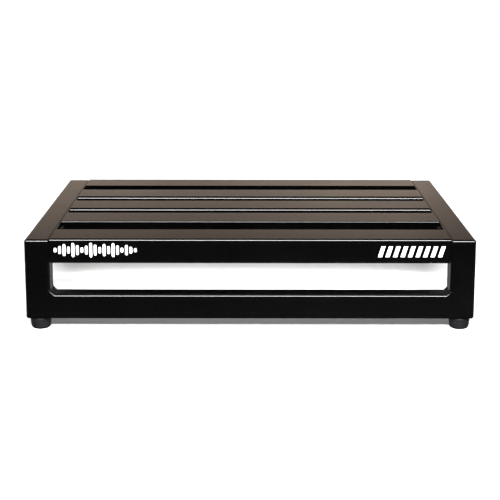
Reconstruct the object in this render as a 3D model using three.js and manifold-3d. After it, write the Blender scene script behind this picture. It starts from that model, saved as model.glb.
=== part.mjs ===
// Pedalboard: a welded frame of rectangular aluminium tube, black powder coat,
// standing on four screwed rubber feet. Millimetres, +Z up.
//
// The frame is square in itself and stands tilted: it is laid out in a deck
// frame (x = width, t = along the deck from the high end to the low end,
// n = square to the deck, 0 at the top of the deck rails) and the whole group
// is then tilted so that the four feet meet the floor.

import * as THREE from 'three';
import { mergeVertices } from 'three/addons/utils/BufferGeometryUtils.js';
import Module from 'manifold-3d';

const wasm = await Module();
wasm.setup();

// ---------------------------------------------------------------- dimensions
const WIDTH = 457.2;          // overall width, 18 in
const DEPTH = 368.3;          // length of the deck, 14.5 in
const TUBE = 25.4;            // square tube of the sides and the riser, 1 in
const RAIL_W = 50.8;          // deck rail, width along the deck, 2 in
const RAIL_H = 25.4;          // deck rail, height, 1 in
const WALL = 1.6;             // wall of every tube
const EDGE_R = 2.5;           // outer corner radius of every tube
const SIDE_DROP = 1.0;        // side rails sit this much below the deck rails
const GAP_HIGH = 42.3;        // cable gap beside the highest rail
const GAP = 24.0;             // the other three gaps between the rails
const WINDOW_H = 32.6;        // clear height of the opening in the riser
const FACE_H = RAIL_H + WINDOW_H + TUBE;   // height of the riser, 83.4
const FILLET = { left: 4.2, right: 3.4 };   // legs of the inside corner fillets
const FIT = 0.3;              // clearance left between neighbouring pieces
const CAP_T = 3.0;            // thickness of the end caps outside the tube

const FOOT_R = 11.0;          // rubber foot
const FOOT_H = 11.0;          // from the tube to the floor, on the foot's axis
const FOOT_IN_X = 13.2;       // foot axis, in from the outer side
const FOOT_IN_T = 13.4;       // foot axis, in from either end of the deck

const RING = 24;              // sides of the small round pieces
const FOOT_RING = 32;         // sides of the feet
const ARC = 4;                // steps in each tube corner

// slope that puts two equal pairs of feet on one floor
const SLOPE = Math.atan2(FACE_H - SIDE_DROP - TUBE, DEPTH - 2 * FOOT_IN_T);

// ----------------------------------------------------------------- materials
const coat = (name) => new THREE.MeshStandardMaterial({ name, color: 0x14120f, roughness: 0.42, metalness: 0.0 });
const rubber = () => new THREE.MeshStandardMaterial({ name: 'rubber', color: 0x1d1d1f, roughness: 0.85, metalness: 0.0 });
const plastic = () => new THREE.MeshStandardMaterial({ name: 'plastic', color: 0x161616, roughness: 0.55, metalness: 0.0 });
const zinc = () => new THREE.MeshStandardMaterial({ name: 'zinc', color: 0xb9bcc0, roughness: 0.35, metalness: 1.0 });

// ------------------------------------------------------------------- helpers
function solid(geometry) {
  const g = geometry.clone();
  g.deleteAttribute('normal');
  g.deleteAttribute('uv');
  const m = mergeVertices(g, 1e-4);
  return new wasm.Manifold(new wasm.Mesh({
    numProp: 3,
    vertProperties: new Float32Array(m.attributes.position.array),
    triVerts: new Uint32Array(m.index.array),
  }));
}

function geometry(manifold) {
  const mesh = manifold.getMesh();
  const g = new THREE.BufferGeometry();
  g.setAttribute('position', new THREE.BufferAttribute(new Float32Array(mesh.vertProperties), 3));
  g.setIndex(new THREE.BufferAttribute(new Uint32Array(mesh.triVerts), 1));
  g.computeVertexNormals();
  return g;
}

// corners of a rectangle from (-w/2,-h/2) to (w/2,h/2) with round corners
function roundRect(w, h, r, steps = ARC) {
  const p = [];
  for (const [sx, sy, a0] of [[1, 1, 0], [-1, 1, 90], [-1, -1, 180], [1, -1, 270]]) {
    for (let i = 0; i <= steps; i++) {
      const a = (a0 + (90 * i) / steps) * Math.PI / 180;
      p.push(new THREE.Vector2(sx * (w / 2 - r) + r * Math.cos(a), sy * (h / 2 - r) + r * Math.sin(a)));
    }
  }
  return p;
}

// axes of an extrusion: its section's u and v and its length w
const ALONG_X = new THREE.Matrix4().makeBasis(new THREE.Vector3(0, 1, 0), new THREE.Vector3(0, 0, 1), new THREE.Vector3(1, 0, 0)); // u=t v=n
const ALONG_T = new THREE.Matrix4().makeBasis(new THREE.Vector3(0, 0, 1), new THREE.Vector3(1, 0, 0), new THREE.Vector3(0, 1, 0)); // u=n v=x
const ALONG_N = new THREE.Matrix4();                                                                                            // u=x v=t

function extrude(shape, length, axes, x, t, n) {
  const g = new THREE.ExtrudeGeometry(shape, { depth: length, steps: 1, bevelEnabled: false });
  g.applyMatrix4(axes);
  g.translate(x, t, n);
  return g;
}

// hollow tube, its section centred on the axis, starting at (x, t, n)
function tube(w, h, length, axes, x, t, n) {
  const shape = new THREE.Shape(roundRect(w, h, EDGE_R));
  shape.holes.push(new THREE.Path(roundRect(w - 2 * WALL, h - 2 * WALL, EDGE_R - WALL).reverse()));
  return extrude(shape, length, axes, x, t, n);
}

// round piece about the deck normal: pairs of radius and height
function lathe(profile, x, t, n, sides = RING) {
  const g = new THREE.LatheGeometry(profile.map(([r, z]) => new THREE.Vector2(r, z)), sides);
  g.rotateX(Math.PI / 2);
  g.translate(x, t, n);
  return g;
}

function block(x0, x1, t0, t1, n0, n1) {
  const g = new THREE.BoxGeometry(x1 - x0, t1 - t0, n1 - n0);
  g.translate((x0 + x1) / 2, (t0 + t1) / 2, (n0 + n1) / 2);
  return g;
}

const board = new THREE.Group();
board.name = 'pedalboard';
const frame = new THREE.Group();     // everything laid out in the deck frame
frame.name = 'deck_frame';
board.add(frame);

function add(name, geom, material) {
  const mesh = new THREE.Mesh(geom, material);
  mesh.name = name;
  frame.add(mesh);
  return mesh;
}

// ------------------------------------------------------------ the deck rails
const inner = WIDTH / 2 - TUBE;                    // inside of the side rails
const railLength = 2 * (inner - FIT);
const railStart = [];                              // near edge of each rail, along t
railStart[5] = 0;
railStart[4] = railStart[5] + RAIL_W + GAP_HIGH;
railStart[3] = railStart[4] + RAIL_W + GAP;
railStart[2] = railStart[3] + RAIL_W + GAP;
railStart[1] = railStart[2] + RAIL_W + GAP;        // ends at DEPTH
for (let i = 1; i <= 5; i++) {
  add(`deck_rail_${i}`,
    tube(RAIL_W, RAIL_H, railLength, ALONG_X, -inner + FIT, railStart[i] + RAIL_W / 2, -RAIL_H / 2),
    coat('powder_coat'));
}

// --------------------------------------------- side rails, riser, bottom bar
const sideTop = -SIDE_DROP;
const sideMid = sideTop - TUBE / 2;
const footSpots = [];                              // [side, x, t, tube bottom n]
for (const s of [-1, 1]) {
  footSpots.push([s, 'high', s * (WIDTH / 2 - FOOT_IN_X), FOOT_IN_T, -FACE_H]);
  footSpots.push([s, 'low', s * (WIDTH / 2 - FOOT_IN_X), DEPTH - FOOT_IN_T, sideTop - TUBE]);
}

// hole in the bottom wall for the rivet nut
function drill(body, x, t, n) {
  const hole = new THREE.CylinderGeometry(3.35, 3.35, 6, RING);
  hole.rotateX(Math.PI / 2);
  hole.translate(x, t, n);
  return body.subtract(solid(hole));
}

// one half of a mitre: everything on the far side of a plane through p
// (in the t-n or the x-n plane), less half the clearance
function halfSpace(axes, p, dir, normal) {
  // a big slab whose face passes through p, shifted back by FIT / 2
  const q = new THREE.Vector2(p[0] + normal[0] * FIT / 2, p[1] + normal[1] * FIT / 2);
  const L = 900, Dp = 900;
  const shape = new THREE.Shape([
    new THREE.Vector2(q.x - dir[0] * L, q.y - dir[1] * L),
    new THREE.Vector2(q.x + dir[0] * L, q.y + dir[1] * L),
    new THREE.Vector2(q.x + dir[0] * L + normal[0] * Dp, q.y + dir[1] * L + normal[1] * Dp),
    new THREE.Vector2(q.x - dir[0] * L + normal[0] * Dp, q.y - dir[1] * L + normal[1] * Dp),
  ]);
  const g = new THREE.ExtrudeGeometry(shape, { depth: 1200, steps: 1, bevelEnabled: false });
  g.translate(0, 0, -600);
  g.applyMatrix4(axes);
  return solid(g);
}

// outline of a side, t against n, with its high top corner rounded
function sideOutline() {
  const p = [];
  for (let i = 0; i <= 6; i++) {
    const a = Math.PI / 2 + (Math.PI / 2) * i / 6;
    p.push(new THREE.Vector2(EDGE_R + EDGE_R * Math.cos(a), sideTop - EDGE_R + EDGE_R * Math.sin(a)));
  }
  p.push(new THREE.Vector2(0, -200), new THREE.Vector2(600, -200), new THREE.Vector2(600, sideTop));
  const g = new THREE.ExtrudeGeometry(new THREE.Shape(p), { depth: 1200, steps: 1, bevelEnabled: false });
  g.translate(0, 0, -600);
  g.applyMatrix4(ALONG_X);
  return solid(g);
}
const outline = sideOutline();

// outline of the riser, x against n, with its two outer bottom corners rounded
function riserOutline() {
  const r = EDGE_R, w = WIDTH / 2, b = -FACE_H, p = [];
  for (let i = 0; i <= 6; i++) {
    const a = -Math.PI / 2 + (Math.PI / 2) * i / 6;
    p.push(new THREE.Vector2(w - r + r * Math.cos(a), b + r + r * Math.sin(a)));
  }
  p.push(new THREE.Vector2(w, 100), new THREE.Vector2(-w, 100));
  for (let i = 0; i <= 6; i++) {
    const a = Math.PI + (Math.PI / 2) * i / 6;
    p.push(new THREE.Vector2(-w + r + r * Math.cos(a), b + r + r * Math.sin(a)));
  }
  const g = new THREE.ExtrudeGeometry(new THREE.Shape(p), { depth: 1200, steps: 1, bevelEnabled: false });
  // section in x and n, length along t
  g.applyMatrix4(new THREE.Matrix4().makeBasis(new THREE.Vector3(1, 0, 0), new THREE.Vector3(0, 0, 1), new THREE.Vector3(0, -1, 0)));
  g.translate(0, 600, 0);
  return solid(g);
}
const riser = riserOutline();

const SQ = Math.SQRT1_2;
const XN = new THREE.Matrix4().makeBasis(new THREE.Vector3(1, 0, 0), new THREE.Vector3(0, 0, 1), new THREE.Vector3(0, -1, 0)); // u=x v=n

for (const s of [-1, 1]) {
  const side = s < 0 ? 'left' : 'right';
  const x = s * (WIDTH / 2 - TUBE / 2);

  // side rail: mitred to the post at the high end, capped at the low end
  let rail = solid(tube(TUBE, TUBE, DEPTH - CAP_T - FIT, ALONG_T, x, 0, sideMid));
  rail = rail.intersect(halfSpace(ALONG_X, [0, sideTop], [SQ, -SQ], [SQ, SQ]));
  rail = rail.intersect(outline);
  rail = drill(rail, x + s * (TUBE / 2 - FOOT_IN_X), DEPTH - FOOT_IN_T, sideTop - TUBE);
  add(`side_rail_${side}`, geometry(rail), coat('powder_coat'));

  // post: mitred to the side rail above and to the bottom bar below
  let post = solid(tube(TUBE, TUBE, FACE_H - SIDE_DROP, ALONG_N, x, TUBE / 2, -FACE_H));
  post = post.intersect(halfSpace(ALONG_X, [0, sideTop], [SQ, -SQ], [-SQ, -SQ]));
  post = post.intersect(halfSpace(XN, [s * WIDTH / 2, -FACE_H], [-s * SQ, SQ], [s * SQ, SQ]));
  post = post.intersect(outline).intersect(riser);
  add(`riser_post_${side}`, geometry(post), coat('powder_coat'));

  // inside corner fillet between the post and the bottom bar
  const cx = s * (inner - FIT), cn = -FACE_H + TUBE + FIT;
  const leg = FILLET[side];
  const f = [new THREE.Vector2(cx, cn), new THREE.Vector2(cx - s * leg, cn)];
  for (let i = 1; i < 6; i++) {                    // slightly hollow face
    const k = i / 6, sag = 0.3 * 4 * k * (1 - k);
    f.push(new THREE.Vector2(cx - s * (leg * (1 - k) - sag * SQ), cn + leg * k - sag * SQ));
  }
  f.push(new THREE.Vector2(cx, cn + leg));
  const fg = new THREE.ExtrudeGeometry(new THREE.Shape(s > 0 ? f.reverse() : f), { depth: TUBE - 1.6, steps: 1, bevelEnabled: false });
  fg.applyMatrix4(XN);
  fg.translate(0, TUBE - 0.8, 0);
  add(`corner_fillet_${side}`, fg, coat('powder_coat'));

  // end cap of the side rail: a plate with rounded edges and a ribbed plug
  const plate = solid((() => {
    const b = 0.8;
    const g = new THREE.ExtrudeGeometry(new THREE.Shape(roundRect(TUBE - 2 * b, TUBE - 2 * b, EDGE_R - b)),
      { depth: CAP_T - b, steps: 1, bevelEnabled: true, bevelThickness: b, bevelSize: b, bevelOffset: 0, bevelSegments: 3 });
    g.applyMatrix4(ALONG_T);
    g.translate(x, DEPTH - CAP_T, sideMid);
    return g;
  })()).intersect(solid(block(-400, 400, DEPTH - CAP_T, DEPTH + 20, -300, 100)));
  const plugW = TUBE - 2 * WALL - 2 * FIT;
  const plugShape = new THREE.Shape(roundRect(plugW - 0.8, plugW - 0.8, 1.0));
  plugShape.holes.push(new THREE.Path(roundRect(plugW - 4.0, plugW - 4.0, 0.6).reverse()));
  let cap = plate.add(solid(extrude(plugShape, 9.6, ALONG_T, x, DEPTH - CAP_T - 9, sideMid)));
  for (const rib of [3.0, 6.0]) {
    const ribShape = new THREE.Shape(roundRect(plugW, plugW, 1.0));
    ribShape.holes.push(new THREE.Path(roundRect(plugW - 2.4, plugW - 2.4, 0.6).reverse()));
    cap = cap.add(solid(extrude(ribShape, 0.9, ALONG_T, x, DEPTH - CAP_T - rib, sideMid)));
  }
  // room for the rivet nut and screw of the low foot
  const notch = new THREE.CylinderGeometry(5.6, 5.6, 14, RING);
  notch.rotateX(Math.PI / 2);
  notch.translate(x + s * (TUBE / 2 - FOOT_IN_X), DEPTH - FOOT_IN_T, sideTop - TUBE + 7);
  cap = cap.subtract(solid(notch));
  add(`end_cap_${side}`, geometry(cap), plastic());
}

// bottom bar of the riser, mitred to both posts
let bar = solid(tube(TUBE, TUBE, WIDTH, ALONG_X, -WIDTH / 2, TUBE / 2, -FACE_H + TUBE / 2));
for (const s of [-1, 1]) {
  bar = bar.intersect(halfSpace(XN, [s * WIDTH / 2, -FACE_H], [-s * SQ, SQ], [-s * SQ, -SQ]));
  bar = drill(bar, s * (WIDTH / 2 - FOOT_IN_X), FOOT_IN_T, -FACE_H);
}
bar = bar.intersect(riser);
add('riser_bottom_bar', geometry(bar), coat('powder_coat'));

// ------------------------------------- feet, washers, screws and rivet nuts
// heights below are measured from the tube's bottom face, down is negative
const floorCut = (() => {           // everything above the floor, in the deck frame
  const g = block(-600, 600, -600, 900, 0, 400);
  g.rotateX(SLOPE);                 // undo the tilt of the deck frame
  // the floor passes through the foot axis at FOOT_H below the tube
  g.translate(0, FOOT_IN_T, -FACE_H - FOOT_H);
  return solid(g);
})();

for (const [s, end, x, t, n] of footSpots) {
  const tag = `${end}_${s < 0 ? 'left' : 'right'}`;

  const profile = [[2.4, -1.6], [5.2, -1.6], [5.2, -FIT], [FOOT_R - 1.5, -FIT]];
  for (let i = 1; i <= 3; i++) {    // rounded top edge
    const a = Math.PI / 2 - (Math.PI / 2) * i / 3;
    profile.push([FOOT_R - 1.5 + 1.5 * Math.cos(a), -FIT - 1.5 + 1.5 * Math.sin(a)]);
  }
  const low = -(FOOT_H + 1.7), rb = 4.2, side = FOOT_R - 0.9;
  for (let i = 0; i <= 5; i++) {    // rounded bottom edge
    const a = -(Math.PI / 2) * i / 5;
    profile.push([side - rb + rb * Math.cos(a), low + rb + rb * Math.sin(a)]);
  }
  profile.push([5.3, low], [5.3, -5.2], [2.4, -5.2], [2.4, -1.6]);
  const foot = solid(lathe(profile.reverse(), x, t, n, FOOT_RING)).intersect(floorCut);
  add(`foot_${tag}`, geometry(foot), rubber());

  add(`foot_washer_${tag}`, lathe([[2.3, -5.5], [2.3, -6.5], [5.0, -6.5], [5.0, -5.5], [2.3, -5.5]], x, t, n), zinc());

  // pan head screw with a cross recess
  let screw = solid(lathe([[0, 8.0], [0, -9.2], [1.9, -9.1], [3.0, -8.7], [3.6, -8.0], [3.75, -7.3], [3.75, -6.8], [1.9, -6.8], [1.9, 7.4], [1.4, 8.0], [0, 8.0]], x, t, n));
  for (const [a, b] of [[2.1, 0.5], [0.5, 2.1]]) {
    screw = screw.subtract(solid(block(x - a, x + a, t - b, t + b, n - 12, n - 7.9)));
  }
  add(`foot_screw_${tag}`, geometry(screw), zinc());

  // rivet nut set in the wall of the tube
  add(`rivet_nut_${tag}`, lathe([
    [2.25, -1.2], [4.8, -1.2], [4.8, -FIT], [3.0, -FIT], [3.0, WALL + FIT], [4.3, WALL + FIT + 0.2],
    [4.4, WALL + 1.2], [3.1, WALL + 2.2], [3.1, 10.0], [2.25, 10.0], [2.25, -1.2],
  ], x, t, n), zinc());
}

// --------------------------------------------------- stand it on its feet
frame.rotation.x = -SLOPE;
board.updateMatrixWorld(true);
const box = new THREE.Box3().setFromObject(board, true);
frame.position.set(0, -(box.min.y + box.max.y) / 2, -box.min.z);
board.updateMatrixWorld(true);

export default board;
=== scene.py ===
import math
import random

import bmesh
import bpy
import numpy as np
from mathutils import Matrix, Vector

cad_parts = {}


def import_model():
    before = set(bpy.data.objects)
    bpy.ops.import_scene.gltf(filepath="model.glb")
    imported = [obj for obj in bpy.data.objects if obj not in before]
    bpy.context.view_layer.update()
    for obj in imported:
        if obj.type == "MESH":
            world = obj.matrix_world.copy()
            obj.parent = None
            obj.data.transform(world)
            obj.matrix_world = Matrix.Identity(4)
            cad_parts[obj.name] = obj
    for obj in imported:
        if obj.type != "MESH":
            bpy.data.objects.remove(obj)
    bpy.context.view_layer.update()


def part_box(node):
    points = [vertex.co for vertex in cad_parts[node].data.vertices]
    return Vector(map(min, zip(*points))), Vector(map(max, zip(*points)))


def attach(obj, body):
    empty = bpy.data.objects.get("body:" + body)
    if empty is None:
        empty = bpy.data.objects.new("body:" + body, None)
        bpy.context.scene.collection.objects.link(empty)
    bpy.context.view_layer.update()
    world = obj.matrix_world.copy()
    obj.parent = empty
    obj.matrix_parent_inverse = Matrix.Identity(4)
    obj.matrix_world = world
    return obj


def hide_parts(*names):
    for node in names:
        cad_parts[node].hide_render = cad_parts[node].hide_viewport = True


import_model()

# ---------------------------------------------------------------------------
# The board's own layout, in millimetres, in its deck frame:
# x across, t along the deck from the high end, n square to the deck.
# ---------------------------------------------------------------------------
WIDTH, DEPTH = 457.2, 368.3
TUBE, RAIL_W, RAIL_H = 25.4, 50.8, 25.4
WALL, EDGE_R, SIDE_DROP = 1.6, 2.5, 1.0
GAP_HIGH, GAP, WINDOW_H = 42.3, 24.0, 32.6
FACE_H = RAIL_H + WINDOW_H + TUBE
CAP_T = 3.0
FOOT_R, FOOT_H = 11.0, 11.0
FOOT_IN_X, FOOT_IN_T = 13.2, 13.4
SLOPE = math.atan2(FACE_H - SIDE_DROP - TUBE, DEPTH - 2 * FOOT_IN_T)
S, C = math.sin(SLOPE), math.cos(SLOPE)
INNER = WIDTH / 2 - TUBE

# the deck frame's place in the row frame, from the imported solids
_lo, _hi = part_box("riser_bottom_bar")
OY = _lo.y * 1000 - (EDGE_R * C - (FACE_H - EDGE_R) * S - EDGE_R)
OZ = FOOT_IN_T * S + (FACE_H + FOOT_H) * C
_rlo, _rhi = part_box("deck_rail_5")
assert abs(_rhi.z * 1000 - (OZ - EDGE_R * S - EDGE_R * C + EDGE_R)) < 0.3, "the packed rail is not where it should be"

RAIL_T = {5: 0.0}
RAIL_T[4] = RAIL_W + GAP_HIGH
RAIL_T[3] = RAIL_T[4] + RAIL_W + GAP
RAIL_T[2] = RAIL_T[3] + RAIL_W + GAP
RAIL_T[1] = RAIL_T[2] + RAIL_W + GAP


def world(p):
    """Deck frame millimetres to row frame metres, one point or an array of them."""
    p = np.asarray(p, float)
    x, t, n = p[..., 0], p[..., 1], p[..., 2]
    return np.stack([x, t * C + n * S + OY, -t * S + n * C + OZ], -1) / 1000.0


def unworld(p):
    p = np.asarray(p, float) * 1000.0
    x, y, z = p[..., 0], p[..., 1] - OY, p[..., 2] - OZ
    return np.stack([x, y * C - z * S, y * S + z * C], -1)


# ---------------------------------------------------------------------------
# materials
# ---------------------------------------------------------------------------
def new_mat(name):
    m = bpy.data.materials.new(name)
    m.use_nodes = True
    nt = m.node_tree
    nt.nodes.clear()
    out = nt.nodes.new("ShaderNodeOutputMaterial")
    bsdf = nt.nodes.new("ShaderNodeBsdfPrincipled")
    nt.links.new(bsdf.outputs[0], out.inputs[0])
    tc = nt.nodes.new("ShaderNodeTexCoord")
    return m, nt, bsdf, tc.outputs["Object"]


def mapped(nt, vec, scale=(1, 1, 1), rot=(0, 0, 0), loc=(0, 0, 0)):
    n = nt.nodes.new("ShaderNodeMapping")
    n.inputs["Scale"].default_value = scale
    n.inputs["Rotation"].default_value = rot
    n.inputs["Location"].default_value = loc
    nt.links.new(vec, n.inputs["Vector"])
    return n.outputs[0]


def noise(nt, vec, scale, detail=2.0, rough=0.5, dist=0.0):
    n = nt.nodes.new("ShaderNodeTexNoise")
    n.inputs["Scale"].default_value = scale
    n.inputs["Detail"].default_value = detail
    n.inputs["Roughness"].default_value = rough
    n.inputs["Distortion"].default_value = dist
    nt.links.new(vec, n.inputs["Vector"])
    return n.outputs["Fac"]


def voronoi(nt, vec, scale, feature="F1", out="Distance"):
    n = nt.nodes.new("ShaderNodeTexVoronoi")
    n.feature = feature
    n.inputs["Scale"].default_value = scale
    nt.links.new(vec, n.inputs["Vector"])
    return n.outputs[out]


def math_node(nt, op, a, b=None, c=None, clamp=False):
    n = nt.nodes.new("ShaderNodeMath")
    n.operation = op
    n.use_clamp = clamp
    for i, v in enumerate((a, b, c)):
        if v is None:
            continue
        if isinstance(v, (int, float)):
            n.inputs[i].default_value = v
        else:
            nt.links.new(v, n.inputs[i])
    return n.outputs[0]


def ramp(nt, fac, stops):
    n = nt.nodes.new("ShaderNodeValToRGB")
    cr = n.color_ramp
    while len(cr.elements) > 1:
        cr.elements.remove(cr.elements[-1])
    for i, (pos, col) in enumerate(stops):
        e = cr.elements[0] if i == 0 else cr.elements.new(pos)
        e.position = pos
        e.color = (*col, 1.0) if len(col) == 3 else col
    nt.links.new(fac, n.inputs[0])
    return n.outputs[0]


def map_range(nt, v, a, b, c, d):
    n = nt.nodes.new("ShaderNodeMapRange")
    n.inputs[1].default_value, n.inputs[2].default_value = a, b
    n.inputs[3].default_value, n.inputs[4].default_value = c, d
    nt.links.new(v, n.inputs[0])
    return n.outputs[0]


def mix_rgb(nt, fac, a, b):
    n = nt.nodes.new("ShaderNodeMix")
    n.data_type = "RGBA"
    for sock, v in ((n.inputs[0], fac), (n.inputs[6], a), (n.inputs[7], b)):
        if isinstance(v, (int, float)):
            sock.default_value = v
        elif isinstance(v, tuple):
            sock.default_value = (*v, 1.0)
        else:
            nt.links.new(v, sock)
    return n.outputs[2]


def bump(nt, bsdf, layers):
    """layers: (height, strength, distance in metres), the first one is the coarsest"""
    prev = None
    for h, strength, dist in layers:
        b = nt.nodes.new("ShaderNodeBump")
        b.inputs["Strength"].default_value = strength
        b.inputs["Distance"].default_value = dist
        nt.links.new(h, b.inputs["Height"])
        if prev is not None:
            nt.links.new(prev, b.inputs["Normal"])
        prev = b.outputs[0]
    nt.links.new(prev, bsdf.inputs["Normal"])


COAT_IOR = 1.45


def powder_coat(name="powder_coat", rough=0.135):
    """satin black powder coat: fine orange peel, faint mottling"""
    m, nt, bsdf, co = new_mat(name)
    big = noise(nt, co, 14.0, 3.0, 0.55)
    mid = noise(nt, co, 160.0, 3.0, 0.6)
    fine = noise(nt, co, 1250.0, 2.0, 0.6)
    cell = voronoi(nt, co, 900.0)
    tone = math_node(nt, "MULTIPLY_ADD", big, 0.6, math_node(nt, "MULTIPLY", mid, 0.4))
    col = ramp(nt, tone, [(0.30, (0.00025, 0.00025, 0.00028)), (0.52, (0.0004, 0.0004, 0.0004)), (0.72, (0.0007, 0.00068, 0.00065))])
    # rare pale dust specks caught in the coat
    speck = voronoi(nt, co, 190.0)
    dots = math_node(nt, "LESS_THAN", speck, 0.045)
    col = mix_rgb(nt, math_node(nt, "MULTIPLY", dots, 0.22), col, (0.05, 0.048, 0.045))
    nt.links.new(col, bsdf.inputs["Base Color"])
    r = map_range(nt, tone, 0.3, 0.72, rough - 0.02, rough + 0.03)
    r = math_node(nt, "ADD", r, math_node(nt, "MULTIPLY", fine, 0.03))
    nt.links.new(r, bsdf.inputs["Roughness"])
    bsdf.inputs["IOR"].default_value = COAT_IOR
    bump(nt, bsdf, [(big, 0.03, 0.0004), (mid, 0.02, 0.00005), (cell, 0.07, 0.00002), (fine, 0.08, 0.00002)])
    return m


def weld_mat():
    m, nt, bsdf, co = new_mat("powder_coat_weld")
    a = noise(nt, co, 420.0, 4.0, 0.6)
    b = noise(nt, co, 60.0, 2.0, 0.5)
    col = ramp(nt, a, [(0.3, (0.0012, 0.0012, 0.0012)), (0.7, (0.0026, 0.0025, 0.0024))])
    nt.links.new(col, bsdf.inputs["Base Color"])
    nt.links.new(map_range(nt, b, 0.3, 0.7, 0.20, 0.30), bsdf.inputs["Roughness"])
    bsdf.inputs["IOR"].default_value = COAT_IOR
    bump(nt, bsdf, [(b, 0.2, 0.0004), (a, 0.3, 0.00012)])
    return m


def rubber_mat():
    m, nt, bsdf, co = new_mat("foot_rubber")
    a = noise(nt, co, 90.0, 4.0, 0.6)
    g = noise(nt, co, 1400.0, 2.0, 0.7)
    dust = noise(nt, co, 300.0, 5.0, 0.7)
    col = ramp(nt, a, [(0.3, (0.0042, 0.0044, 0.0049)), (0.7, (0.0072, 0.0075, 0.0082))])
    col = mix_rgb(nt, math_node(nt, "MULTIPLY", map_range(nt, dust, 0.55, 0.75, 0.0, 1.0), 0.3), col, (0.014, 0.0138, 0.013))
    nt.links.new(col, bsdf.inputs["Base Color"])
    nt.links.new(map_range(nt, a, 0.3, 0.7, 0.40, 0.52), bsdf.inputs["Roughness"])
    bsdf.inputs["IOR"].default_value = 1.30
    bump(nt, bsdf, [(a, 0.25, 0.0004), (g, 0.35, 0.00006)])
    return m


def plastic_mat():
    m, nt, bsdf, co = new_mat("cap_plastic")
    a = noise(nt, co, 70.0, 3.0, 0.5)
    g = voronoi(nt, co, 1500.0)
    nt.links.new(ramp(nt, a, [(0.3, (0.0065, 0.0065, 0.0068)), (0.7, (0.0105, 0.0103, 0.010))]), bsdf.inputs["Base Color"])
    nt.links.new(map_range(nt, a, 0.3, 0.7, 0.42, 0.54), bsdf.inputs["Roughness"])
    bsdf.inputs["IOR"].default_value = 1.46
    bump(nt, bsdf, [(a, 0.15, 0.0003), (g, 0.35, 0.00006)])
    return m


def zinc_mat():
    m, nt, bsdf, co = new_mat("zinc_steel")
    a = noise(nt, co, 220.0, 4.0, 0.6)
    g = noise(nt, mapped(nt, co, (1, 1, 8)), 900.0, 3.0, 0.7)
    col = ramp(nt, a, [(0.25, (0.42, 0.41, 0.37)), (0.5, (0.58, 0.58, 0.57)), (0.75, (0.66, 0.66, 0.62))])
    nt.links.new(col, bsdf.inputs["Base Color"])
    bsdf.inputs["Metallic"].default_value = 1.0
    nt.links.new(map_range(nt, g, 0.3, 0.7, 0.24, 0.42), bsdf.inputs["Roughness"])
    bump(nt, bsdf, [(a, 0.15, 0.0002), (g, 0.25, 0.00005)])
    return m


def print_mat():
    m, nt, bsdf, co = new_mat("print_white")
    a = noise(nt, co, 500.0, 4.0, 0.65)
    b = noise(nt, co, 2600.0, 2.0, 0.6)
    col = ramp(nt, a, [(0.25, (0.80, 0.80, 0.79)), (0.6, (0.93, 0.93, 0.92)), (0.8, (0.96, 0.96, 0.95))])
    nt.links.new(col, bsdf.inputs["Base Color"])
    nt.links.new(map_range(nt, a, 0.3, 0.7, 0.35, 0.5), bsdf.inputs["Roughness"])
    bump(nt, bsdf, [(b, 0.25, 0.00003)])
    return m


MAT = {
    "coat": powder_coat(),
    "weld": weld_mat(),
    "rubber": rubber_mat(),
    "plastic": plastic_mat(),
    "zinc": zinc_mat(),
    "print": print_mat(),
}

# ---------------------------------------------------------------------------
# mesh helpers
# ---------------------------------------------------------------------------
def sharpen(bm, angle=35.0):
    lim = math.radians(angle)
    for f in bm.faces:
        f.smooth = True
    for e in bm.edges:
        if len(e.link_faces) == 2 and e.calc_face_angle(0.0) > lim:
            e.smooth = False


def finish_mesh(name, bm, mat, angle=35.0, weighted=True):
    """bm is in deck frame millimetres; the object lies in the row frame in metres, at the origin"""
    bmesh.ops.recalc_face_normals(bm, faces=bm.faces)
    sharpen(bm, angle)
    co = world([v.co[:] for v in bm.verts])
    for v, p in zip(bm.verts, co):
        v.co = p
    me = bpy.data.meshes.new(name)
    bm.to_mesh(me)
    bm.free()
    ob = bpy.data.objects.new(name, me)
    bpy.context.scene.collection.objects.link(ob)
    me.materials.append(mat)
    if weighted:
        w = ob.modifiers.new("flat_faces", "WEIGHTED_NORMAL")
        w.keep_sharp = True
        w.weight = 60
    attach(ob, "root")
    return ob


def make(name, verts, faces, mat, angle=35.0, weighted=True):
    bm = bmesh.new()
    vs = [bm.verts.new(v) for v in verts]
    for f in faces:
        try:
            bm.faces.new([vs[i] for i in f])
        except ValueError:
            pass
    return finish_mesh(name, bm, mat, angle, weighted)


def round_rect(w, h, r, steps):
    p = []
    for sx, sy, a0 in ((1, 1, 0), (-1, 1, 90), (-1, -1, 180), (1, -1, 270)):
        for i in range(steps + 1):
            a = math.radians(a0 + 90 * i / steps)
            p.append((sx * (w / 2 - r) + r * math.cos(a), sy * (h / 2 - r) + r * math.sin(a)))
    return p


def round_rect4(w, h, radii, steps):
    """radii in the order (+,+), (-,+), (-,-), (+,-); a negative one is a flat bevel"""
    p = []
    for (sx, sy, a0), r in zip(((1, 1, 0), (-1, 1, 90), (-1, -1, 180), (1, -1, 270)), radii):
        for i in range(steps + 1):
            a = math.radians(a0 + 90 * i / steps)
            if r < 0:
                a1, a2, k = math.radians(a0), math.radians(a0 + 90), i / steps
                p.append((sx * (w / 2 + r) - r * ((1 - k) * math.cos(a1) + k * math.cos(a2)), sy * (h / 2 + r) - r * ((1 - k) * math.sin(a1) + k * math.sin(a2))))
                continue
            p.append((sx * (w / 2 - r) + r * math.cos(a), sy * (h / 2 - r) + r * math.sin(a)))
    return p


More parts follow.
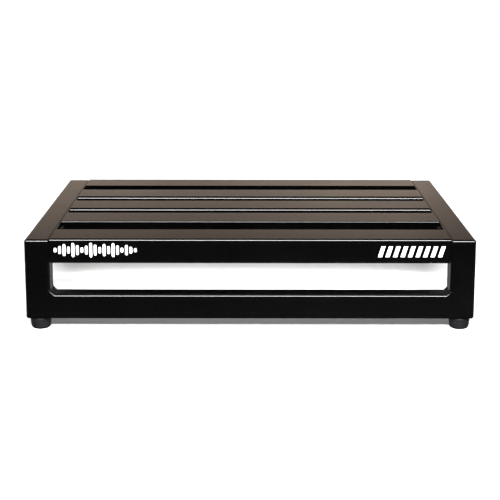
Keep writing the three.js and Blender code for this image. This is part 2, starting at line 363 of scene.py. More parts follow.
def ring_bm(profile, centre, steps=96):
    """closed lathe about the deck normal; profile is a closed loop of (radius, height)"""
    x, t, n = centre
    bm = bmesh.new()
    rows = []
    for r, h in profile:
        if r < 1e-6:
            rows.append([bm.verts.new((x, t, n + h))] * steps)
        else:
            rows.append([bm.verts.new((x + r * math.cos(2 * math.pi * k / steps), t + r * math.sin(2 * math.pi * k / steps), n + h)) for k in range(steps)])
    m = len(rows)
    for i in range(m):
        a, b = rows[i], rows[(i + 1) % m]
        for k in range(steps):
            q = [a[k], a[(k + 1) % steps], b[(k + 1) % steps], b[k]]
            u = []
            for v in q:
                if v not in u:
                    u.append(v)
            if len(u) > 2:
                try:
                    bm.faces.new(u)
                except ValueError:
                    pass
    return bm


def boolean_cut(ob, cutters):
    for c in cutters:
        m = ob.modifiers.new("cut", "BOOLEAN")
        m.operation = "DIFFERENCE"
        m.solver = "EXACT"
        m.object = c
        ob.modifiers.move(len(ob.modifiers) - 1, 0)
        with bpy.context.temp_override(object=ob, active_object=ob, selected_objects=[ob]):
            bpy.ops.object.modifier_apply(modifier=m.name)
    for c in cutters:
        me = c.data
        bpy.data.objects.remove(c)
        bpy.data.meshes.remove(me)
    bm = bmesh.new()
    bm.from_mesh(ob.data)
    sharpen(bm, 35.0)
    bm.to_mesh(ob.data)
    bm.free()


def cutter_cylinder(x, t, n0, n1, r, steps=48):
    bm = ring_bm([(0, n0), (r, n0), (r, n1), (0, n1)], (x, t, 0), steps)
    bmesh.ops.recalc_face_normals(bm, faces=bm.faces)
    co = world([v.co[:] for v in bm.verts])
    for v, p in zip(bm.verts, co):
        v.co = p
    me = bpy.data.meshes.new("cutter")
    bm.to_mesh(me)
    bm.free()
    ob = bpy.data.objects.new("cutter", me)
    bpy.context.scene.collection.objects.link(ob)
    return ob


# ---------------------------------------------------------------------------
# side rails, posts and bottom bar: one rounded skin, split at its mitres, so
# that the ground joints run through without a step
# ---------------------------------------------------------------------------
def cells_bm(xs, ts, ns, filled):
    """surface of a set of grid cells; filled(i, j, k) says which are solid"""
    bm = bmesh.new()
    vert = {}

    def v(i, j, k):
        if (i, j, k) not in vert:
            vert[i, j, k] = bm.verts.new((xs[i], ts[j], ns[k]))
        return vert[i, j, k]

    nx, nt_, nn = len(xs) - 1, len(ts) - 1, len(ns) - 1

    def full(i, j, k):
        return 0 <= i < nx and 0 <= j < nt_ and 0 <= k < nn and filled(i, j, k)

    for i in range(nx):
        for j in range(nt_):
            for k in range(nn):
                if not full(i, j, k):
                    continue
                if not full(i - 1, j, k):
                    bm.faces.new((v(i, j, k), v(i, j, k + 1), v(i, j + 1, k + 1), v(i, j + 1, k)))
                if not full(i + 1, j, k):
                    bm.faces.new((v(i + 1, j, k), v(i + 1, j + 1, k), v(i + 1, j + 1, k + 1), v(i + 1, j, k + 1)))
                if not full(i, j - 1, k):
                    bm.faces.new((v(i, j, k), v(i + 1, j, k), v(i + 1, j, k + 1), v(i, j, k + 1)))
                if not full(i, j + 1, k):
                    bm.faces.new((v(i, j + 1, k), v(i, j + 1, k + 1), v(i + 1, j + 1, k + 1), v(i + 1, j + 1, k)))
                if not full(i, j, k - 1):
                    bm.faces.new((v(i, j, k), v(i, j + 1, k), v(i + 1, j + 1, k), v(i + 1, j, k)))
                if not full(i, j, k + 1):
                    bm.faces.new((v(i, j, k + 1), v(i + 1, j, k + 1), v(i + 1, j + 1, k + 1), v(i, j + 1, k + 1)))
    return bm


def skin(inset, radius, segments, low_end):
    w = WIDTH / 2
    i = inset
    xs = [-w + i, -INNER - i, INNER + i, w - i]
    ts = [0 + i, TUBE - i, low_end]
    ns = [-FACE_H + i, -FACE_H + TUBE - i, -SIDE_DROP - TUBE + i, -SIDE_DROP - i]

    def filled(a, b, c):
        side = a in (0, 2)
        if b == 0:
            return side or c == 0
        return side and c == 2

    bm = cells_bm(xs, ts, ns, filled)
    bmesh.ops.recalc_face_normals(bm, faces=bm.faces)
    convex = [e for e in bm.edges if e.calc_face_angle(0) > 0.5 and e.is_convex]
    bmesh.ops.bevel(bm, geom=convex, offset=radius, offset_type="OFFSET", segments=segments, profile=0.5,
                    affect="EDGES", clamp_overlap=False, loop_slide=True)
    return bm


def whole_frame():
    """outer and inner skins in one mesh, the inner one turned inside out"""
    outer = skin(0.0, EDGE_R, 10, DEPTH + 20)
    inner = skin(WALL, EDGE_R - WALL, 3, DEPTH + 30)
    for f in inner.faces:
        f.normal_flip()
    me = bpy.data.meshes.new("tmp")
    inner.to_mesh(me)
    inner.free()
    outer.from_mesh(me)
    bpy.data.meshes.remove(me)
    return outer


WHOLE = whole_frame()
Q = math.sqrt(0.5)


def slice_frame(planes):
    """part of the frame on the inner side of each plane (point, outward normal), cut faces closed"""
    bm = WHOLE.copy()
    for p, nrm in planes:
        geom = bm.verts[:] + bm.edges[:] + bm.faces[:]
        bmesh.ops.bisect_plane(bm, geom=geom, dist=1e-5, plane_co=p, plane_no=nrm, clear_outer=True, clear_inner=False)
        edges = [e for e in bm.edges if e.is_boundary]
        if edges:
            bmesh.ops.triangle_fill(bm, use_beauty=True, use_dissolve=False, edges=edges)
    return bm


HAIR = 0.03          # what is left between two joined tubes
for s, side in ((-1, "left"), (1, "right")):
    w = s * WIDTH / 2
    top = ((0, 0, -SIDE_DROP - HAIR), (0, -Q, -Q))
    rail = slice_frame([((0, 0, 0), (-s, 0, 0)), ((0, 0, -SIDE_DROP), (0, -Q, -Q)), ((0, DEPTH - CAP_T, 0), (0, 1, 0))])
    ob = finish_mesh(f"coated_side_rail_{side}", rail, MAT["coat"])
    boolean_cut(ob, [cutter_cylinder(s * (WIDTH / 2 - FOOT_IN_X), DEPTH - FOOT_IN_T, -SIDE_DROP - TUBE - 3, -SIDE_DROP - TUBE + 4, 3.35)])
    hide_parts(f"side_rail_{side}")

    post = slice_frame([((0, 0, 0), (-s, 0, 0)), ((0, 0, -SIDE_DROP - HAIR), (0, Q, Q)), ((w, 0, -FACE_H + HAIR), (-s * Q, 0, -Q))])
    ob = finish_mesh(f"coated_riser_post_{side}", post, MAT["coat"])
    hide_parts(f"riser_post_{side}")

bar = slice_frame([((-WIDTH / 2, 0, -FACE_H), (-Q, 0, Q)), ((WIDTH / 2, 0, -FACE_H), (Q, 0, Q))])
ob = finish_mesh("coated_riser_bottom_bar", bar, MAT["coat"])
boolean_cut(ob, [cutter_cylinder(s * (WIDTH / 2 - FOOT_IN_X), FOOT_IN_T, -FACE_H - 3, -FACE_H + 4, 3.35) for s in (-1, 1)])
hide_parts("riser_bottom_bar")
WHOLE.free()

# ---------------------------------------------------------------------------
# deck rails
# ---------------------------------------------------------------------------
NEAR_R = {1: -3.0, 2: 3.0, 3: 3.0, 4: 1.3, 5: 2.4}      # the upper near edges are not all rounded alike
SEAM = {1: (0.45, 0.05), 2: (0.45, 0.05), 3: (0.5, 0.1), 4: (0.6, 0.15), 5: (0.55, 0.55)}


def rail_mesh(i):
    outer = round_rect4(RAIL_W, RAIL_H, (EDGE_R, NEAR_R[i], EDGE_R, EDGE_R), 14)
    inner = round_rect(RAIL_W - 2 * WALL, RAIL_H - 2 * WALL, EDGE_R - WALL, 4)
    gap_l, gap_r = SEAM[i]
    tc, nc = RAIL_T[i] + RAIL_W / 2, -RAIL_H / 2
    # stations along x; the tops are a hair hollow between the welds
    L = INNER
    xs = [-L + gap_l, -L + gap_l + 0.4] + list(np.linspace(-L + 6, L - 6, 41)) + [L - gap_r - 0.4, L - gap_r]
    rng = random.Random(50 + i)
    ph = rng.uniform(0, 6)
    bm = bmesh.new()
    rows_o, rows_i = [], []
    for x in xs:
        k = 1 - (x / L) ** 2
        sag = -0.06 * k * k
        wave = 0.008 * math.sin(x / 57.0 + ph) * k
        ro = []
        for u, v in outer:
            d = (sag + wave) if v > RAIL_H / 2 - 0.2 and abs(u) < RAIL_W / 2 - EDGE_R - 1.5 else 0.0
            ro.append(bm.verts.new((x, tc + u, nc + v + d)))
        rows_o.append(ro)
        rows_i.append([bm.verts.new((x, tc + u, nc + v)) for u, v in inner])
    for rows, flip in ((rows_o, False), (rows_i, True)):
        m = len(rows[0])
        for a, b in zip(rows, rows[1:]):
            for k in range(m):
                q = (a[k], a[(k + 1) % m], b[(k + 1) % m], b[k])
                bm.faces.new(q if not flip else q[::-1])
    for k in (0, -1):
        loops = []
        for rows in (rows_o, rows_i):
            r = rows[k]
            for j in range(len(r)):
                e = bm.edges.get((r[j], r[(j + 1) % len(r)]))
                loops.append(e)
        bmesh.ops.triangle_fill(bm, use_beauty=True, use_dissolve=False, edges=loops)
    ob = finish_mesh(f"coated_deck_rail_{i}", bm, MAT["coat"])
    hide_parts(f"deck_rail_{i}")
    return ob


for i in range(1, 6):
    rail_mesh(i)

# ---------------------------------------------------------------------------
# weld beads
# ---------------------------------------------------------------------------
def bead(verts, faces, a, b, da, db, leg, seed, pitch=2.3, taper=2.0):
    """fillet weld from a to b in the corner between directions da and db, with the ripples of a hand-run bead"""
    rng = random.Random(seed)
    a, b = Vector(a), Vector(b)
    da, db = Vector(da), Vector(db)
    axis = (b - a)
    length = axis.length
    axis.normalize()
    nseg = max(12, int(length / 0.32))
    nu = 9
    base = len(verts)
    marks, pos = [], 0.0
    while pos < length + pitch:
        marks.append(pos)
        pos += pitch * rng.uniform(0.82, 1.2)
    wob = [rng.uniform(-0.12, 0.12) for _ in range(40)]
    for i in range(nseg + 1):
        sdist = length * i / nseg
        k = min(1.0, sdist / taper, (length - sdist) / taper)
        k = math.sqrt(max(0.0, 1 - (1 - k) ** 2)) * 0.97 + 0.03
        lg = leg * k * (1 + wob[int(sdist / 6) % 40] * 0.5)
        ring = []
        for j in range(nu):
            u = j / (nu - 1)
            back = 1.1 * (4 * u * (1 - u))            # ripples are crescents
            q = sdist + back
            d = min((abs(q - mk) for mk in marks), default=0)
            rip = max(0.0, 1 - (d / (pitch * 0.5)) ** 2)
            bulge = (0.20 + 0.13 * (1 - rip)) * leg * math.sin(math.pi * u) * k
            bulge -= 0.06 * leg * math.sin(math.pi * u)
            p = a + axis * sdist + da * (lg * (1 - u)) + db * (lg * u) + (da + db) * (Q * bulge)
            ring.append(tuple(p))
        ring.append(tuple(a + axis * sdist - (da + db) * 0.02))
        verts.extend(ring)
    m = nu + 1
    for i in range(nseg):
        for j in range(m):
            p0, p1 = base + i * m + j, base + i * m + (j + 1) % m
            faces.append((p0, p1, p1 + m, p0 + m))
    faces.append(tuple(base + j for j in range(m))[::-1])
    faces.append(tuple(base + nseg * m + j for j in range(m)))


for i in range(1, 6):
    for s, side in ((-1, "left"), (1, "right")):
        v, f = [], []
        x = s * INNER
        t0, t1 = RAIL_T[i], RAIL_T[i] + RAIL_W
        if i != 5:
            bead(v, f, (x, t0, -6.0), (x, t0, -RAIL_H + 1.5), (-s, 0, 0), (0, -1, 0), 3.0, 10 * i + 1)
        if i != 1:
            bead(v, f, (x, t1, -6.0), (x, t1, -RAIL_H + 1.5), (-s, 0, 0), (0, 1, 0), 3.0, 10 * i + 2)
        lo_t = t0 + (TUBE + 3 if i == 5 else 4)
        bead(v, f, (x, lo_t, -RAIL_H + 0.0), (x, t1 - 4, -RAIL_H + 0.0), (-s, 0, 0), (0, 0, -1), 3.2 if i != 5 else 3.0, 10 * i + 3)
        ob = make(f"weld_deck_rail_{i}_{side}", v, f, MAT["weld"], angle=60, weighted=False)

for s, side in ((-1, "left"), (1, "right")):
    x = s * INNER
    v, f = [], []
    # inside corner of side rail and post, under the deck
    bead(v, f, (x + s * 1.5, TUBE, -SIDE_DROP - TUBE), (x + s * (TUBE - 1.5), TUBE, -SIDE_DROP - TUBE), (0, 1, 0), (0, 0, -1), 3.4, 77 + s)
    ob = make(f"weld_riser_corner_{side}", v, f, MAT["weld"], angle=60, weighted=False)

# ground filler where the highest rail meets the posts, flush with the face
for s, side in ((-1, "left"), (1, "right")):
    v, f = [], []
    zs = list(np.linspace(-RAIL_H + 0.6, -3.2, 28))
    for zi, z in enumerate(zs):
        x0 = s * INNER
        dent = 0.03 * math.sin(z * 1.9 + s) + 0.02 * math.sin(z * 4.3)
        sec = [(x0 - s * 0.02, 0.02 + 0.0 * dent), (x0 + s * 0.8, 0.02 + max(0, dent) * 0.6), (x0 + s * 1.7, 0.02 + max(0, -dent) * 0.6), (x0 + s * 2.6, 0.01)]
        arc = []
        for j in range(7):
            a = math.radians(90 * j / 6)
            arc.append((x0 + s * (EDGE_R - EDGE_R * math.sin(a)) + s * 0.02, EDGE_R - EDGE_R * math.cos(a) + 0.03))
        arc.append((x0 - s * 0.02, EDGE_R + 0.03))
        for xx, tt in sec + arc:
            v.append((xx, tt, z))
    m = len(v) // len(zs)
    for a in range(len(zs) - 1):
        for j in range(m):
            f.append((a * m + j, a * m + (j + 1) % m, (a + 1) * m + (j + 1) % m, (a + 1) * m + j))
    f.append(tuple(range(m))[::-1])
    f.append(tuple((len(zs) - 1) * m + j for j in range(m)))
    ob = make(f"ground_weld_{side}", v, f, MAT["coat"], angle=40, weighted=True)

# ---------------------------------------------------------------------------
# inside corner fillets of the window
# ---------------------------------------------------------------------------
LEGS = {"left": 4.3, "right": 3.5}
for s, side in ((-1, "left"), (1, "right")):
    LEG = LEGS[side]
    cx, cn = s * INNER, -FACE_H + TUBE
    a_pt = np.array([cx - s * LEG, cn])            # on the bar
    b_pt = np.array([cx, cn + LEG])                # on the post
    along = (b_pt - a_pt) / np.linalg.norm(b_pt - a_pt)
    into = np.array([s * Q, -Q])                   # from the open corner into the metal
    span = np.linalg.norm(b_pt - a_pt)
    deep = 7.8
    prof = []                                      # (depth into the metal, t)
    r = EDGE_R
    for k in range(11):
        g = math.radians(90 * k / 10)
        prof.append((r - r * math.sin(g), r - r * math.cos(g)))
    prof = prof[::-1]                              # from the face side (depth 0) to the front (t 0)
    prof = [(d_, t_ + 0.004) for d_, t_ in prof]
    loop = prof + [(deep, 0.004), (deep, TUBE - 0.004)]
    for k in range(11):
        g = math.radians(90 * k / 10)
        loop.append((r - r * math.sin(g), TUBE - 0.004 - (r - r * math.cos(g))))
    us = [-2.4, -1.2, 0.0] + list(np.linspace(0.6, span - 0.6, 12)) + [span, span + 1.2, span + 2.4]
    v, f = [], []
    for u in us:
        hollow = 0.22 * math.sin(math.pi * min(1.0, max(0.0, u / span)))
        for d_, t_ in loop:
            w_ = d_ + hollow * max(0.0, 1 - d_ / r)
            q = a_pt + along * u + into * w_
            v.append((q[0], t_, q[1]))
    m = len(loop)
    for a in range(len(us) - 1):
        for j in range(m):
            f.append((a * m + j, a * m + (j + 1) % m, (a + 1) * m + (j + 1) % m, (a + 1) * m + j))
    f.append(tuple(range(m))[::-1])
    f.append(tuple((len(us) - 1) * m + j for j in range(m)))
    ob = make(f"coated_corner_fillet_{side}", v, f, MAT["coat"], angle=50)
    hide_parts(f"corner_fillet_{side}")

# ---------------------------------------------------------------------------
# end caps
# ---------------------------------------------------------------------------
for s, side in ((-1, "left"), (1, "right")):
    x, nc = s * (WIDTH / 2 - TUBE / 2), -SIDE_DROP - TUBE / 2
    rows = []
    b = 1.2
    def ring_at(t, w, r, steps=12):
        return [(x + v_, t, nc + u_) for u_, v_ in round_rect(w, w, r, steps)]
    stations = [(DEPTH - CAP_T + 0.05, TUBE - 0.5, EDGE_R - 0.25), (DEPTH - CAP_T + 0.25, TUBE - 0.05, EDGE_R)]
    stations.append((DEPTH - b, TUBE - 0.02, EDGE_R))
    for k in range(1, 9):
        a = math.radians(90 * k / 8)
        stations.append((DEPTH - b + b * math.sin(a), TUBE - 2 * b * (1 - math.cos(a)), max(0.6, EDGE_R - b * (1 - math.cos(a)))))
    stations.append((DEPTH - 0.0, TUBE - 2 * b - 3.0, 0.9))
    # a shallow dished centre
    stations.append((DEPTH - 0.35, TUBE - 2 * b - 4.2, 0.8))
    stations.append((DEPTH - 0.42, TUBE - 2 * b - 9.0, 0.6))
    v, f = [], []
    m = len(ring_at(0, TUBE, EDGE_R))
    plug_w = TUBE - 2 * WALL - 0.3
    plug = [(DEPTH - CAP_T + 0.05, plug_w, 1.0), (DEPTH - CAP_T - 8.2, plug_w - 0.3, 1.0), (DEPTH - CAP_T - 9.0, plug_w - 1.4, 0.9),
            (DEPTH - CAP_T - 9.0, plug_w - 3.6, 0.7), (DEPTH - CAP_T - 1.0, plug_w - 3.6, 0.7)]
    order = plug[::-1] + stations
    for t, w_, r_ in order:
        v.extend(ring_at(t, w_, r_))
    for a in range(len(order) - 1):
        for j in range(m):
            f.append((a * m + j, a * m + (j + 1) % m, (a + 1) * m + (j + 1) % m, (a + 1) * m + j))
    f.append(tuple(range(m))[::-1])
    f.append(tuple((len(order) - 1) * m + j for j in range(m)))
    ob = make(f"moulded_end_cap_{side}", v, f, MAT["plastic"], angle=40)
    boolean_cut(ob, [cutter_cylinder(s * (WIDTH / 2 - FOOT_IN_X), DEPTH - FOOT_IN_T, -SIDE_DROP - TUBE - 1, -SIDE_DROP - TUBE + 14, 5.6)])
    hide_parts(f"end_cap_{side}")

# ---------------------------------------------------------------------------
# feet, washers, screws and rivet nuts
# ---------------------------------------------------------------------------
def arc(cx, cz, r, a0, a1, steps):
    return [(cx + r * math.cos(math.radians(a0 + (a1 - a0) * k / steps)), cz + r * math.sin(math.radians(a0 + (a1 - a0) * k / steps))) for k in range(steps + 1)]


def foot_profile():
    low = -(FOOT_H + 1.7)
    side = FOOT_R - 0.9
    rb = 4.2
    p = [(2.4, -5.2), (2.4, -1.6), (5.2, -1.6), (5.2, -0.1)]
    p += [(6.8, -0.1), (8.0, -0.1)]
    p += arc(FOOT_R - 1.5, -0.1 - 1.5, 1.5, 90, 0, 10)
    # body tapers, with a faint mould step
    p += [(FOOT_R - 0.10, -2.4), (FOOT_R - 0.16, -2.9), (FOOT_R - 0.30, -3.1), (FOOT_R - 0.42, -4.4), (FOOT_R - 0.62, -6.2)]
    p += arc(side - rb, low + rb, rb, 0, -90, 16)
    p += [(5.9, low), (5.6, low + 0.15), (5.5, low + 0.5), (5.3, -5.7), (5.0, -5.2)]
    return p


spots = []
for s in (-1, 1):
    spots.append((s, "high", s * (WIDTH / 2 - FOOT_IN_X), FOOT_IN_T, -FACE_H))
    spots.append((s, "low", s * (WIDTH / 2 - FOOT_IN_X), DEPTH - FOOT_IN_T, -SIDE_DROP - TUBE))

for s, end, x, t, n in spots:
    tag = f"{end}_{'left' if s < 0 else 'right'}"
    bm = ring_bm(foot_profile(), (x, t, n), 96)
    bm.verts.ensure_lookup_table()
    # the rubber is flattened where it stands on the floor
    pw = world([v.co[:] for v in bm.verts])
    for v, p in zip(bm.verts, pw):
        if p[2] < 0.0:
            p = p.copy()
            over = -p[2]
            c = world((x, t, n - FOOT_H))
            d = np.array([p[0] - c[0], p[1] - c[1]])
            L = np.linalg.norm(d)
            if L > 1e-6:
                p[:2] += d / L * over * 0.12
            p[2] = 0.0
            v.co = unworld(p)
    ob = finish_mesh(f"rubber_foot_{tag}", bm, MAT["rubber"], angle=40, weighted=False)
    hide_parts(f"foot_{tag}")

    # washer with rounded rims
    wp = [(2.25, -5.35), (2.25, -6.15)] + [(2.35, -6.25), (4.75, -6.25)] + arc(4.75, -6.05, 0.2, -90, 0, 3) + arc(4.75, -5.45, 0.2, 0, 90, 3) + [(2.35, -5.25)]
    bm = ring_bm(wp, (x, t, n), 72)
    ob = finish_mesh(f"plated_washer_{tag}", bm, MAT["zinc"], angle=40)
    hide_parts(f"foot_washer_{tag}")

    # pan head screw: rolled thread on the shank, cross recess in the head
    sp = [(0, 8.0), (1.2, 8.0), (1.55, 7.6)]
    z = 7.5
    while z > -5.6:
        sp += [(1.62, z), (1.95, z - 0.28), (1.95, z - 0.34)]
        z -= 0.7
    sp += [(1.95, -5.9), (1.95, -6.3), (3.62, -6.3), (3.75, -6.42)]
    sp += [(3.75, -7.2)] + arc(3.0, -7.55, 0.75, 0, -60, 6) + [(2.6, -8.42), (1.6, -8.62), (0, -8.68)]
    bm = ring_bm(sp, (x, t, n), 60)
    bmesh.ops.remove_doubles(bm, verts=bm.verts, dist=1e-5)
    ob = finish_mesh(f"plated_screw_{tag}", bm, MAT["zinc"], angle=40)
    cutters = []
    for ang in (0, 90):
        cb = bmesh.new()
        bmesh.ops.create_cube(cb, size=1.0)
        for v in cb.verts:
            k = 0.5 if v.co.z > 0 else 1.0          # tapers inwards, up into the head
            v.co = Vector((v.co.x * 4.0 * k, v.co.y * 0.95 * (0.6 if v.co.z > 0 else 1.0), v.co.z * 2.0))
        bmesh.ops.rotate(cb, verts=cb.verts, cent=(0, 0, 0), matrix=Matrix.Rotation(math.radians(ang + 20 * (1 + s) + (10 if end == "low" else 33)), 3, "Z"))
        bmesh.ops.translate(cb, verts=cb.verts, vec=(x, t, n - 8.0))
        for v, p in zip(cb.verts, world([v.co[:] for v in cb.verts])):
            v.co = p
        me = bpy.data.meshes.new("cutter")
        cb.to_mesh(me)
        cb.free()
        co_ = bpy.data.objects.new("cutter", me)
        bpy.context.scene.collection.objects.link(co_)
        cutters.append(co_)
    boolean_cut(ob, cutters)
    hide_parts(f"foot_screw_{tag}")

    rp = [(2.1, -1.1), (4.6, -1.1)] + arc(4.6, -0.95, 0.15, -90, 0, 2) + arc(4.6, -0.2, 0.15, 0, 90, 2) + [(3.1, -0.05), (3.1, WALL + 0.1)]
    rp += arc(3.3, WALL + 1.0, 0.95, -60, 60, 8) + [(3.1, WALL + 2.2), (3.1, 9.8), (2.9, 10.0), (2.1, 10.0)]
    bm = ring_bm(rp, (x, t, n), 60)
    ob = finish_mesh(f"plated_rivet_nut_{tag}", bm, MAT["zinc"], angle=40)
    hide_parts(f"rivet_nut_{tag}")

# ---------------------------------------------------------------------------
# printed marks: plain bars, no lettering
# ---------------------------------------------------------------------------
def prism(v, f, outline_pts, t_front=-0.05, t_back=0.03):
    b = len(v)
    m = len(outline_pts)
    for t in (t_front, t_back):
        for x, n in outline_pts:
            v.append((x, t, n))
    f.append(tuple(range(b, b + m)))
    f.append(tuple(range(b + m, b + 2 * m))[::-1])
    for j in range(m):
        f.append((b + j, b + m + j, b + m + (j + 1) % m, b + (j + 1) % m))


def pill(cx, cn, w, h, steps=10):
    r = w / 2
    p = []
    for k in range(steps + 1):
        a = math.radians(180 * k / steps)
        p.append((cx + r * math.cos(a), cn + h / 2 - r + r * math.sin(a)))
    for k in range(steps + 1):
        a = math.radians(180 + 180 * k / steps)
        p.append((cx + r * math.cos(a), cn - h / 2 + r + r * math.sin(a)))
    return p


v, f = [], []
heights = [4.5, 8.0, 12.0, 7.0, 14.5, 10.0, 5.5, 9.0, 15.0, 11.0, 6.5, 12.5, 8.0, 14.0, 9.5, 5.0, 10.5, 7.0, 4.0]
for k, h in enumerate(heights):
    prism(v, f, pill(-197.0 + k * 4.5, -11.6, 2.7, h))
ob = make("printed_bars_left", v, f, MAT["print"], angle=40, weighted=False)

v, f = [], []
for k in range(9):
    cx, cn, w_, h_, sl = 133.0 + k * 7.6, -13.0, 4.0, 11.0, 3.4
    prism(v, f, [(cx - w_ / 2 - sl / 2, cn - h_ / 2), (cx + w_ / 2 - sl / 2, cn - h_ / 2), (cx + w_ / 2 + sl / 2, cn + h_ / 2), (cx - w_ / 2 + sl / 2, cn + h_ / 2)])
ob = make("printed_stripes_right", v, f, MAT["print"], angle=40, weighted=False)

# ---------------------------------------------------------------------------
# floor, light and camera
# ---------------------------------------------------------------------------
bm = bmesh.new()
for p in ((-0.85, -0.75, 0), (0.85, -0.75, 0), (0.85, 0.42, 0), (-0.85, 0.42, 0)):
    bm.verts.new(p)
bm.faces.new(bm.verts)
me = bpy.data.meshes.new("studio_floor")
bm.to_mesh(me)
bm.free()
floor = bpy.data.objects.new("studio_floor", me)
floor.location = (0, 0, -0.0002)
bpy.context.scene.collection.objects.link(floor)
fm, nt, bsdf, co = new_mat("studio_floor")
tone = noise(nt, co, 1.3, 2.0, 0.5)
nt.links.new(ramp(nt, tone, [(0.3, (0.86, 0.86, 0.86)), (0.7, (0.90, 0.90, 0.895))]), bsdf.inputs["Base Color"])
bsdf.inputs["Roughness"].default_value = 0.6
bsdf.inputs["Specular IOR Level"].default_value = 0.2
bsdf.inputs["Emission Color"].default_value = (0.97, 1.0, 0.96, 1.0)
bsdf.inputs["Emission Strength"].default_value = 0.13
me.materials.append(fm)
floor.visible_glossy = False

wld = bpy.data.worlds.new("studio")
bpy.context.scene.world = wld
wld.use_nodes = True
nt = wld.node_tree
nt.nodes.clear()
out = nt.nodes.new("ShaderNodeOutputWorld")
bg_l = nt.nodes.new("ShaderNodeBackground")
bg_c = nt.nodes.new("ShaderNodeBackground")
mixs = nt.nodes.new("ShaderNodeMixShader")
lp = nt.nodes.new("ShaderNodeLightPath")
tc = nt.nodes.new("ShaderNodeTexCoord")
sep = nt.nodes.new("ShaderNodeSeparateXYZ")
nt.links.new(tc.outputs["Generated"], sep.inputs[0])
# warm grey room behind the board, paler towards the horizon and to the right, dark in front and higher up
half = math_node(nt, "MULTIPLY_ADD", sep.outputs["Z"], 0.5, 0.5)
def z_at(deg):
    return 0.5 + 0.5 * math.sin(math.radians(deg))
elev = ramp(nt, half, [(0.0, (0.01, 0.01, 0.01)), (z_at(-6), (0.012, 0.011, 0.010)), (z_at(-4.6), (0.05, 0.04, 0.034)), (z_at(-3.4), (0.68, 0.543, 0.447)), (z_at(-1.5), (0.93, 0.742, 0.612)), (z_at(0.0), (0.60, 0.479, 0.392)), (z_at(1.2), (0.30, 0.239, 0.195)),
                       (z_at(2.6), (0.185, 0.148, 0.121)), (z_at(4.5), (0.10, 0.081, 0.067)), (z_at(7.5), (0.015, 0.013, 0.011)), (1.0, (0.004, 0.004, 0.004))])
back = map_range(nt, sep.outputs["Y"], 0.0, 0.5, 0.0, 1.0)
across = map_range(nt, sep.outputs["X"], -0.25, 0.25, 0.0, 1.0)
def x_at(x):
    return 0.5 + x * 2.0
side = ramp(nt, across, [(x_at(-0.25), (0.72, 0.72, 0.72)), (x_at(-0.15), (0.84, 0.84, 0.84)), (x_at(-0.12), (0.84, 0.84, 0.84)), (x_at(-0.05), (0.72, 0.72, 0.72)), (x_at(-0.01), (0.76, 0.76, 0.76)),
                         (x_at(0.055), (0.95, 0.95, 0.95)), (x_at(0.11), (1.0, 1.0, 1.0)), (x_at(0.13), (0.84, 0.84, 0.84)), (x_at(0.155), (0.66, 0.66, 0.66)), (x_at(0.25), (0.60, 0.60, 0.60))])
side = math_node(nt, "MULTIPLY", side, 1.26)


def scaled(colour, k):
    n = nt.nodes.new("ShaderNodeVectorMath")
    n.operation = "SCALE"
    nt.links.new(colour, n.inputs[0])
    nt.links.new(k, n.inputs["Scale"])
    return n.outputs[0]


def add_rgb(nt, a, b):
    n = nt.nodes.new("ShaderNodeVectorMath")
    n.operation = "ADD"
    nt.links.new(a, n.inputs[0])
    nt.links.new(b, n.inputs[1])
    return n.outputs[0]


front = ramp(nt, half, [(0.0, (0.03, 0.03, 0.033)), (z_at(-14), (0.14, 0.142, 0.160)), (z_at(-6), (0.125, 0.127, 0.145)), (z_at(-4.8), (0.085, 0.087, 0.102)), (z_at(-3), (0.026, 0.027, 0.033)), (z_at(-1), (0.014, 0.015, 0.019)), (z_at(15), (0.02, 0.02, 0.024)), (1.0, (0.004, 0.004, 0.004))])
lean = map_range(nt, sep.outputs["X"], -0.15, 0.15, 0.80, 1.50)
# a pale floor off to both sides, low down
below = ramp(nt, half, [(0.0, (0.02, 0.02, 0.02)), (z_at(-26), (0.17, 0.168, 0.166)), (z_at(-19), (0.30, 0.297, 0.292)), (z_at(-12), (0.32, 0.30, 0.275)), (z_at(-7), (0.0, 0.0, 0.0)), (1.0, (0.0, 0.0, 0.0))])
wide = math_node(nt, "ABSOLUTE", sep.outputs["X"])
edge_on = map_range(nt, wide, 0.118, 0.138, 0.0, 1.26)
behind = add_rgb(nt, scaled(elev, side), scaled(below, edge_on))
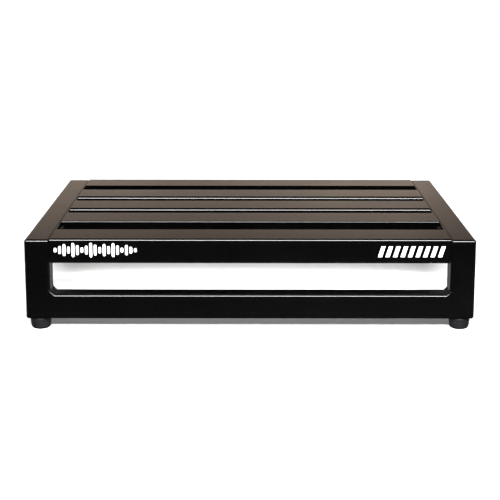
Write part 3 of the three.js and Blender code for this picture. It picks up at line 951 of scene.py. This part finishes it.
# soft panels far out to the left and right, above the horizon
panel = ramp(nt, half, [(0.0, (0.0, 0.0, 0.0)), (z_at(2), (0.0, 0.0, 0.0)), (z_at(12), (0.10, 0.10, 0.102)), (z_at(34), (0.20, 0.20, 0.204)), (z_at(52), (0.10, 0.10, 0.102)), (z_at(66), (0.0, 0.0, 0.0))])
out_wide = map_range(nt, wide, 0.42, 0.72, 0.0, 1.0)
col = add_rgb(nt, mix_rgb(nt, back, scaled(front, lean), behind), scaled(panel, out_wide))
nt.links.new(col, bg_l.inputs["Color"])
bg_l.inputs["Strength"].default_value = 1.0
bg_c.inputs["Color"].default_value = (1.0, 1.0, 1.0, 1.0)
bg_c.inputs["Strength"].default_value = 1.0
nt.links.new(lp.outputs["Is Camera Ray"], mixs.inputs[0])
nt.links.new(bg_l.outputs[0], mixs.inputs[1])
nt.links.new(bg_c.outputs[0], mixs.inputs[2])
nt.links.new(mixs.outputs[0], out.inputs[0])


def area(name, loc, target, size, size_y, power, color=(1, 1, 1)):
    d = bpy.data.lights.new(name, "AREA")
    d.shape = "RECTANGLE"
    d.size, d.size_y = size, size_y
    d.energy = power
    d.color = color
    o = bpy.data.objects.new(name, d)
    o.location = loc
    o.rotation_euler = (Vector(target) - Vector(loc)).to_track_quat("-Z", "Y").to_euler()
    bpy.context.scene.collection.objects.link(o)
    return o


area("key_front", (0.05, -1.11, 1.00), (0, -0.10, 0.03), 1.4, 0.36, 82)
area("soft_overhead", (0.0, -0.45, 1.40), (0, -0.05, 0.0), 1.4, 0.5, 3)
card = area("card_under_deck", (0.0, -0.075, 0.052), (0.0, -0.050, 0.0), 0.402, 0.06, 0.58)
card.visible_camera = False
card.visible_glossy = False

cam_d = bpy.data.cameras.new("camera")
cam = bpy.data.objects.new("camera", cam_d)
bpy.context.scene.collection.objects.link(cam)
CAM_POS = (-0.88, -1366.68, 287.06)      # deck frame
PITCH, YAW, ROLL, FPX = 12.315, -0.032, 0.072, 1384.9
cam.location = world(CAM_POS)
cam_d.sensor_width = 36.0
cam_d.lens = FPX * 36.0 / 500.0
cam_d.clip_start, cam_d.clip_end = 0.01, 50.0
tilt = math.radians(PITCH) + SLOPE
cam.rotation_euler = (Matrix.Rotation(math.radians(YAW), 3, "Z") @ Matrix.Rotation(math.pi / 2 - tilt, 3, "X") @ Matrix.Rotation(math.radians(ROLL), 3, "Z")).to_euler()
bpy.context.scene.camera = cam
bpy.context.scene.view_settings.view_transform = "Standard"

bpy.context.view_layer.update()
